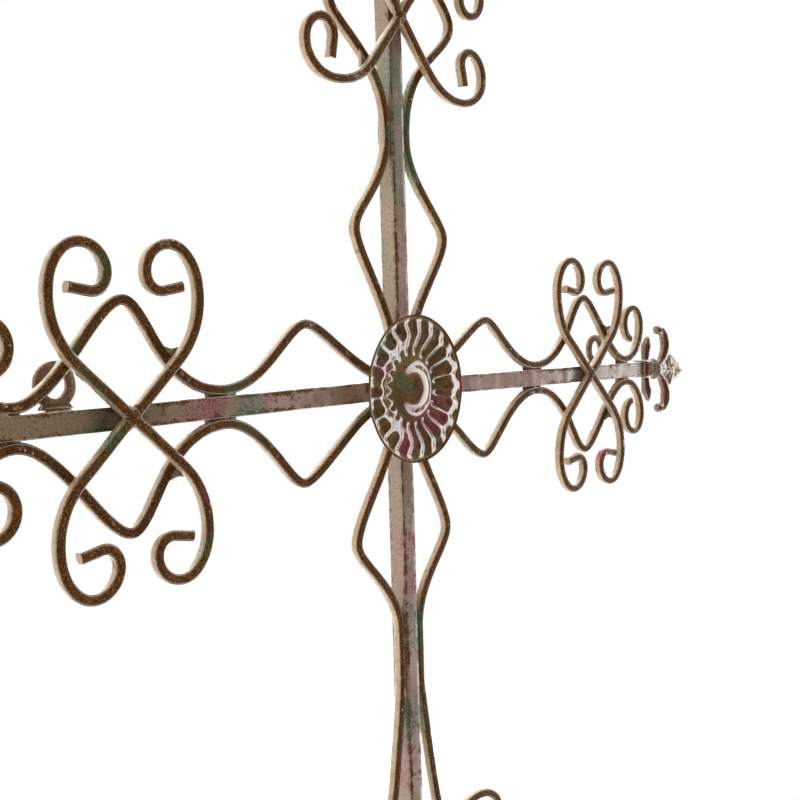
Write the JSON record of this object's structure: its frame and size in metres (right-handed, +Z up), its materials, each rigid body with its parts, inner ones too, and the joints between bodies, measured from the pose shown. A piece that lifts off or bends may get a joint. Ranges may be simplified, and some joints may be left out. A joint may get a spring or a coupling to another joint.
{
  "type": "wrought iron cross",
  "caption": "Wall-hung memorial cross of square iron bars with wavy side rods, crossed scrolls, a fluted rosette, lily finials and hanger rings, in worn dark brown paint.",
  "frame": {"origin": "on the wall plane, at the back face of the upright bar where the bars cross behind the rosette", "axes": "+X to the viewer's right along the cross bar, +Y into the wall, +Z up along the upright; the front faces -Y"},
  "size_m": [0.824, 0.027, 0.956],
  "materials": {
    "bar_paint": "semi-gloss taupe brown paint, rubbed dark along the edges, with fine speckles",
    "rod_paint": "semi-gloss dark brown paint with golden brown mottling",
    "casting_paint": "dark red-brown paint over a cast surface",
    "rosette_paint": "semi-gloss dark brown paint, rubbed golden on the lobes",
    "tab_paint": "thin taupe paint on a flat plate"
  },
  "bodies": {
    "root": {"bottom_cross_scroll": "rod_paint", "bottom_finial": "casting_paint", "bottom_inner_scroll": "rod_paint", "bottom_left_wave": "rod_paint", "bottom_outer_scroll": "rod_paint", "bottom_right_wave": "rod_paint", "left_arm_bar": "bar_paint", "left_cross_scroll": "rod_paint", "left_finial": "casting_paint", "left_hanger_tab": "tab_paint", "left_inner_scroll": "rod_paint", "left_lower_wave": "rod_paint", "left_outer_scroll": "rod_paint", "left_upper_wave": "rod_paint", "right_arm_bar": "bar_paint", "right_cross_scroll": "rod_paint", "right_finial": "casting_paint", "right_hanger_tab": "tab_paint", "right_inner_scroll": "rod_paint", "right_lower_wave": "rod_paint", "right_outer_scroll": "rod_paint", "right_upper_wave": "rod_paint", "rosette": "rosette_paint", "top_cross_scroll": "rod_paint", "top_finial": "casting_paint", "top_inner_scroll": "rod_paint", "top_left_wave": "rod_paint", "top_outer_scroll": "rod_paint", "top_right_wave": "rod_paint", "upright_bar": "bar_paint"}
  },
  "joints": []
}
